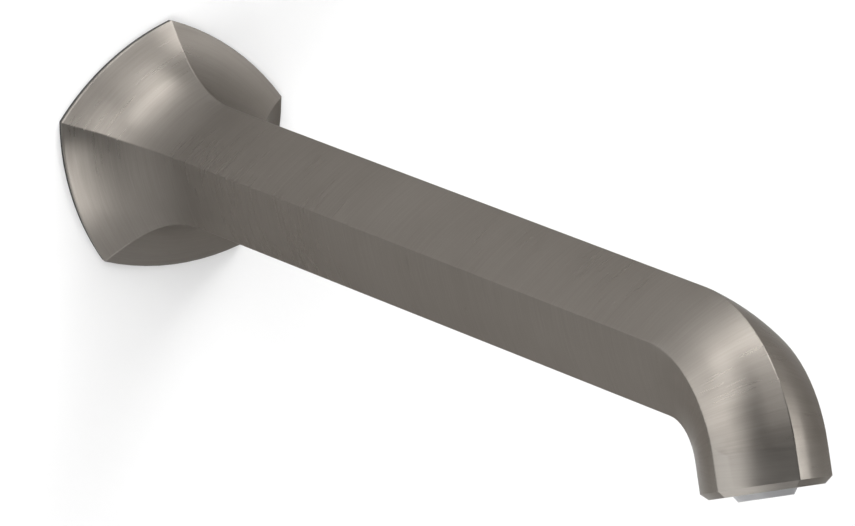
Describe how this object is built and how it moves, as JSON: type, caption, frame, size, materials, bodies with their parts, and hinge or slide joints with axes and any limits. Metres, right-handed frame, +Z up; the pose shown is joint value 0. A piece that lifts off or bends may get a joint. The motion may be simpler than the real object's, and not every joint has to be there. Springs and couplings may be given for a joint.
{
  "type": "wall mounted bath spout",
  "caption": "Slender five-sided wall mounted bath spout with a flared wall flange, a turned-down nose, a threaded inlet adapter and a removable outlet insert.",
  "frame": {"origin": "on the inlet axis, in the plane of the wall", "axes": "+Z up, the straight run of the spout lies along -Y, +Y points into the wall"},
  "size_m": [0.0552, 0.2788, 0.0555],
  "materials": {
    "spout_finish": "brass with a brushed warm titanium-grey coating",
    "raw_brass": "machined",
    "copper_tube": "drawn tube",
    "stainless": "stainless, fine ground",
    "black_rubber": "matt",
    "foam_rubber": "closed cell foam rubber, matt",
    "spacer_plastic": "natural acetal",
    "pad_plastic": "natural nylon",
    "insert_plastic": "light grey acetal",
    "core_plastic": "pale grey acetal"
  },
  "bodies": {
    "supply": {"inlet_adapter": "raw_brass", "adapter_seal_rear": "black_rubber", "adapter_seal_front": "black_rubber"},
    "spout": {"spout_body": "spout_finish", "wall_gasket": "foam_rubber", "waterway_socket": "raw_brass", "socket_seal": "black_rubber", "socket_retaining_ring": "stainless", "waterway_tube": "copper_tube", "tube_seal": "black_rubber", "tube_spacer_rear": "spacer_plastic", "tube_spacer_front": "spacer_plastic"},
    "pad": {"set_screw_pad": "pad_plastic"},
    "screw": {"set_screw": "stainless"},
    "outlet_core": {"aerator_washer": "black_rubber", "jet_plate": "core_plastic", "screen_upper": "stainless", "screen_spacer": "core_plastic", "screen_lower": "stainless", "flow_straightener": "core_plastic"},
    "outlet_housing": {"aerator_housing": "insert_plastic"}
  },
  "joints": [
    {"name": "spout_pull", "type": "slide", "parent": "supply", "child": "spout", "axis": [0, -1, 0], "range_m": [0, 0.04]},
    {"name": "pad_slide", "type": "slide", "parent": "spout", "child": "pad", "axis": [0, 0, -1], "range_m": [0, 0.0028]},
    {"name": "set_screw_turn", "type": "hinge", "parent": "pad", "child": "screw", "pos_m": [0, -0.022, -0.0112], "axis": [0, 0, -1], "range_deg": [0, 1440]},
    {"name": "core_slide", "type": "slide", "parent": "spout", "child": "outlet_core", "axis": [0, -0.2857, -0.9583], "range_m": [0, 0.009]},
    {"name": "housing_turn", "type": "hinge", "parent": "outlet_core", "child": "outlet_housing", "pos_m": [0, -0.25057, -0.02342], "axis": [0, -0.2857, -0.9583], "range_deg": [0, 3240]}
  ],
  "couplings": [
    {"joint": "set_screw_turn", "follows": "pad_slide", "rad_per_m": 8976},
    {"joint": "housing_turn", "follows": "core_slide", "rad_per_m": 6283.2}
  ]
}
